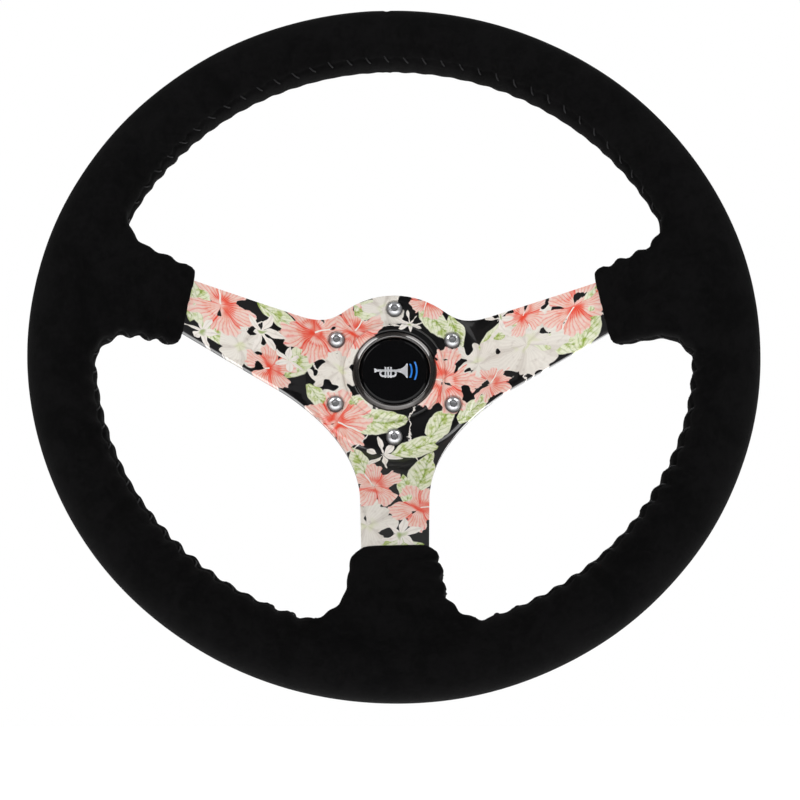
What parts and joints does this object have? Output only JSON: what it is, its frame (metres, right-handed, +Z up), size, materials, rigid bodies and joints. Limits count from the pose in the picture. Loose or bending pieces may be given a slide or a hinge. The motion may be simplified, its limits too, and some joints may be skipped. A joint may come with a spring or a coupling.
{
  "type": "quick release steering wheel",
  "caption": "Deep-dish round steering wheel: suede grip on a ring, flat spokes with a floral print bent back to a hub, horn button, ball-lock quick release behind.",
  "frame": {"origin": "on the steering axis at the rear mouth of the coupling bore", "axes": "+Y along the steering axis away from the driver, +Z up with the lower spoke pointing down, +X to the driver's right"},
  "size_m": [0.35, 0.1361, 0.35],
  "materials": {
    "printed_metal": "glossy floral print under clear lacquer",
    "aluminium": "mill",
    "steel": "zinc plated",
    "foam": "moulded skin",
    "suede": "napped suede",
    "thread": "waxed thread",
    "bezel": "dark bronze, glossy",
    "gloss_black": "polished",
    "white_print": "silver print",
    "blue_print": "blue print",
    "black_plastic": "moulded",
    "brass": "stamped",
    "anodised": "black anodised",
    "barrel_steel": "hardened and ground",
    "collar_alloy": "satin machined",
    "ball_steel": "polished bearing steel"
  },
  "bodies": {
    "wheel": {"spoke_plate": "printed_metal", "horn_retaining_ring": "printed_metal", "rim_core": "aluminium", "spoke_rivets": "steel", "rim_foam": "foam", "suede_cover": "suede", "rim_stitching": "thread", "hub_screws": "steel", "horn_bezel": "bezel", "horn_housing": "black_plastic", "horn_base": "black_plastic", "horn_spring": "steel", "horn_clip": "steel", "horn_fixed_contact": "brass", "horn_terminals": "brass", "coupling_flange": "anodised", "coupling_barrel": "barrel_steel", "hex_insert": "steel", "contact_insulator": "black_plastic", "contact_pins": "brass", "collar_spring": "steel", "snap_ring": "steel"},
    "horn_cap": {"horn_cap": "gloss_black", "horn_symbol": "white_print", "sound_arcs": "blue_print", "horn_moving_contact": "brass"},
    "release_collar": {"release_collar": "collar_alloy"},
    "lock_ball_1": {"lock_ball_1": "ball_steel"},
    "lock_ball_2": {"lock_ball_2": "ball_steel"},
    "lock_ball_3": {"lock_ball_3": "ball_steel"},
    "lock_ball_4": {"lock_ball_4": "ball_steel"},
    "lock_ball_5": {"lock_ball_5": "ball_steel"},
    "lock_ball_6": {"lock_ball_6": "ball_steel"}
  },
  "joints": [
    {"name": "horn_press", "type": "slide", "parent": "wheel", "child": "horn_cap", "axis": [0, 1, 0], "range_m": [0, 0.0015], "stiffness_N_per_m": 1500, "springref_m": -0.002, "deforming": ["horn_spring"]},
    {"name": "collar_pull", "type": "slide", "parent": "wheel", "child": "release_collar", "axis": [0, -1, 0], "range_m": [0, 0.006], "stiffness_N_per_m": 2000, "springref_m": -0.004, "deforming": ["collar_spring"]},
    {"name": "lock_ball_1_out", "type": "slide", "parent": "wheel", "child": "lock_ball_1", "axis": [0.866, 0, 0.5], "range_m": [0, 0.0015]},
    {"name": "lock_ball_2_out", "type": "slide", "parent": "wheel", "child": "lock_ball_2", "axis": [0, 0, 1], "range_m": [0, 0.0015]},
    {"name": "lock_ball_3_out", "type": "slide", "parent": "wheel", "child": "lock_ball_3", "axis": [-0.866, 0, 0.5], "range_m": [0, 0.0015]},
    {"name": "lock_ball_4_out", "type": "slide", "parent": "wheel", "child": "lock_ball_4", "axis": [-0.866, 0, -0.5], "range_m": [0, 0.0015]},
    {"name": "lock_ball_5_out", "type": "slide", "parent": "wheel", "child": "lock_ball_5", "axis": [0, 0, -1], "range_m": [0, 0.0015]},
    {"name": "lock_ball_6_out", "type": "slide", "parent": "wheel", "child": "lock_ball_6", "axis": [0.866, 0, -0.5], "range_m": [0, 0.0015]}
  ],
  "couplings": [
    {"joint": "lock_ball_1_out", "follows": "collar_pull", "ratio": 0.25},
    {"joint": "lock_ball_2_out", "follows": "collar_pull", "ratio": 0.25},
    {"joint": "lock_ball_3_out", "follows": "collar_pull", "ratio": 0.25},
    {"joint": "lock_ball_4_out", "follows": "collar_pull", "ratio": 0.25},
    {"joint": "lock_ball_5_out", "follows": "collar_pull", "ratio": 0.25},
    {"joint": "lock_ball_6_out", "follows": "collar_pull", "ratio": 0.25}
  ]
}
